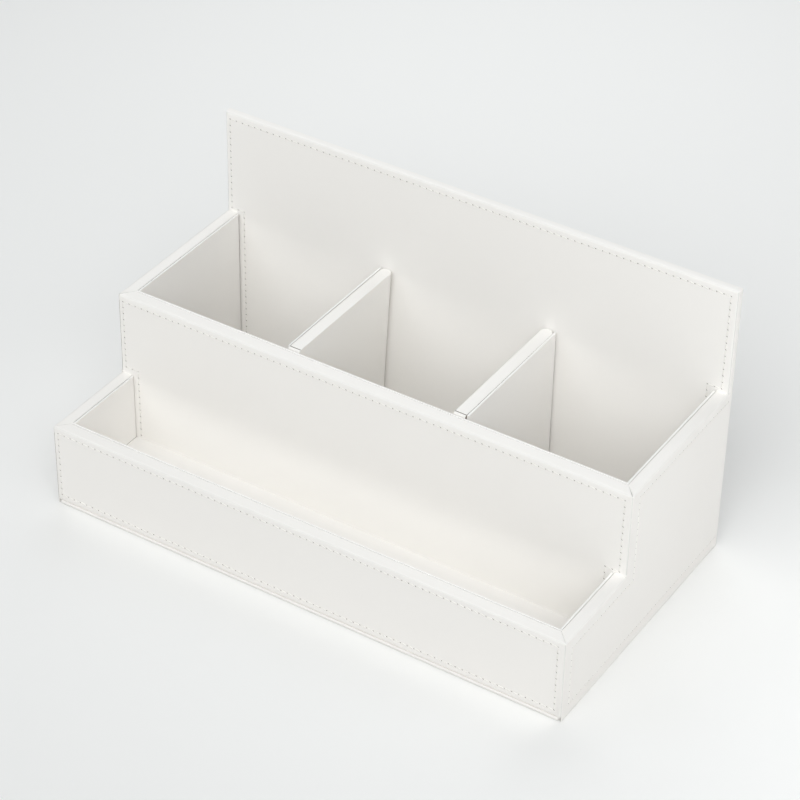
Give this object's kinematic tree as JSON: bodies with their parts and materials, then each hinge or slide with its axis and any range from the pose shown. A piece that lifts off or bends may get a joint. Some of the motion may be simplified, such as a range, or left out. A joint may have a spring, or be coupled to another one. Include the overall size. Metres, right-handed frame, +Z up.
{
  "type": "desk organizer",
  "caption": "Open desk organizer of stitched leatherette over board, with a tall back, a rear box split by lift-out dividers, and a low tray along the front.",
  "frame": {"origin": "middle of the footprint, on the surface that the organizer stands on", "axes": "+X to the right along the width, seen from the tray; +Y from the tray to the tall back; +Z up"},
  "size_m": [0.32, 0.1694, 0.169],
  "materials": {
    "cover_leatherette": "satin, fine grain",
    "liner_leatherette": "satin, fine grain",
    "board": "raw fibreboard",
    "thread": "matt sewing thread"
  },
  "bodies": {
    "organizer": {"base_board": "board", "floor_board": "board", "left_side_board": "board", "right_side_board": "board", "tray_front_board": "board", "middle_board": "board", "back_board": "board", "base_cover": "cover_leatherette", "left_side_cover": "cover_leatherette", "right_side_cover": "cover_leatherette", "tray_front_cover": "cover_leatherette", "middle_cover": "cover_leatherette", "back_cover": "cover_leatherette", "rear_panel": "cover_leatherette", "box_front_liner": "liner_leatherette", "box_left_liner": "liner_leatherette", "box_right_liner": "liner_leatherette", "box_floor_liner": "liner_leatherette", "tray_front_liner": "liner_leatherette", "tray_left_liner": "liner_leatherette", "tray_right_liner": "liner_leatherette", "tray_floor_liner": "liner_leatherette"},
    "left_divider": {"left_divider_board": "board", "left_divider_cover": "cover_leatherette", "left_divider_liner": "liner_leatherette"},
    "right_divider": {"right_divider_board": "board", "right_divider_cover": "cover_leatherette", "right_divider_liner": "liner_leatherette"}
  },
  "joints": [
    {"name": "left_divider_lift", "type": "slide", "parent": "organizer", "child": "left_divider", "axis": [0, 0, 1], "range_m": [0, 0.1]},
    {"name": "right_divider_lift", "type": "slide", "parent": "organizer", "child": "right_divider", "axis": [0, 0, 1], "range_m": [0, 0.1]}
  ]
}
